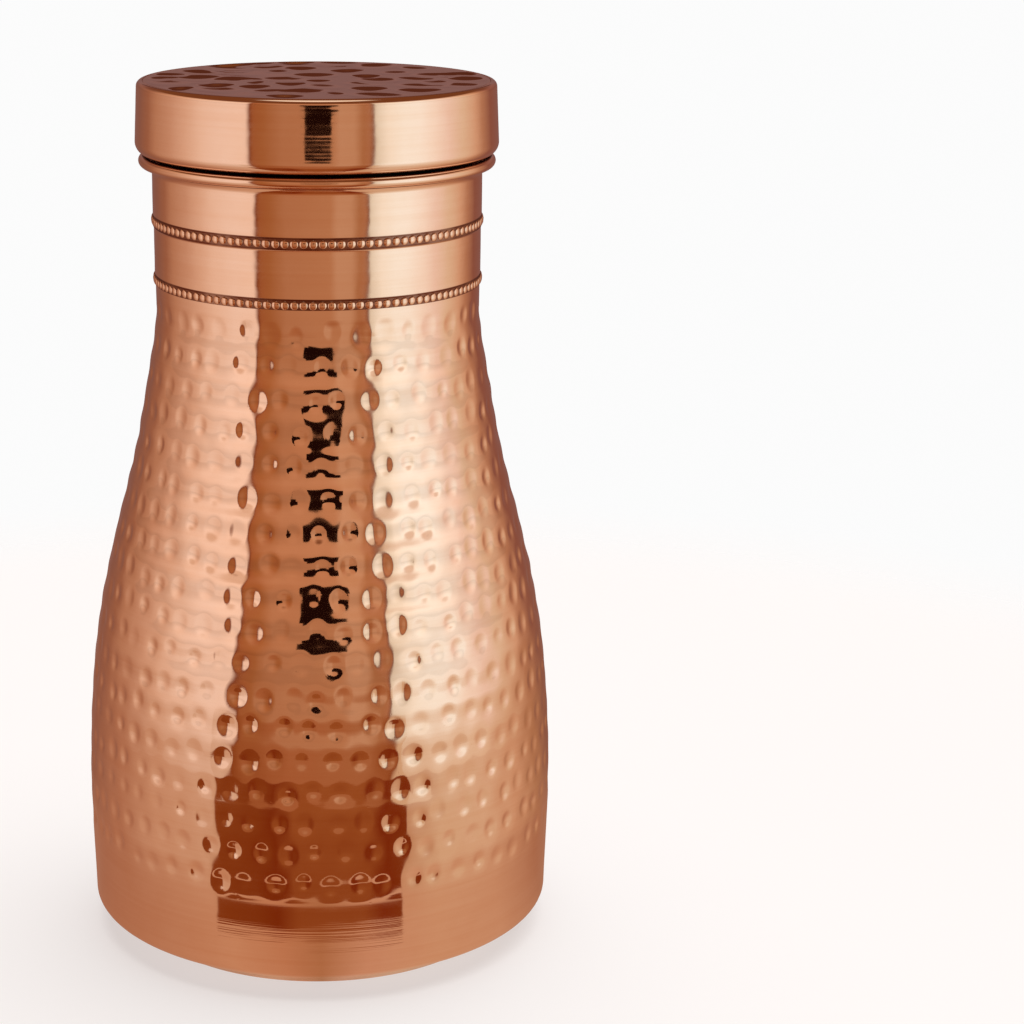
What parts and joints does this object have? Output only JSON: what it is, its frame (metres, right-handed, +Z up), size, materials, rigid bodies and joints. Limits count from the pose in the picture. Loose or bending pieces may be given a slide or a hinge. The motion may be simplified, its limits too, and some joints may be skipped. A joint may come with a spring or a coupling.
{
  "type": "copper water jug",
  "caption": "Hammered copper water jug with a smooth beaded neck and a hammered tumbler that stands upside down in the mouth as its lid.",
  "frame": {"origin": "on the jug's axis, at the plane it stands on", "axes": "+Z up along the jug's axis towards the lid, -Y to the front, +X to the right seen from the front"},
  "size_m": [0.1204, 0.1204, 0.22],
  "materials": {
    "hammered_copper": "polished copper sheet with round hammer marks",
    "smooth_copper": "polished copper sheet with fine turning lines",
    "wire_copper": "polished copper wire, darkened in its recesses"
  },
  "bodies": {
    "jug": {"body_shell": "hammered_copper", "base_plate": "smooth_copper", "neck_collar": "smooth_copper", "mouth_wire": "wire_copper", "upper_bead_ring": "wire_copper", "lower_bead_ring": "wire_copper"},
    "tumbler": {"tumbler_shell": "smooth_copper", "lid_disc": "hammered_copper", "lip_ring": "smooth_copper"}
  },
  "joints": [
    {"name": "tumbler_lift", "type": "slide", "parent": "jug", "child": "tumbler", "axis": [0, 0, 1], "range_m": [0, 0.075]}
  ]
}
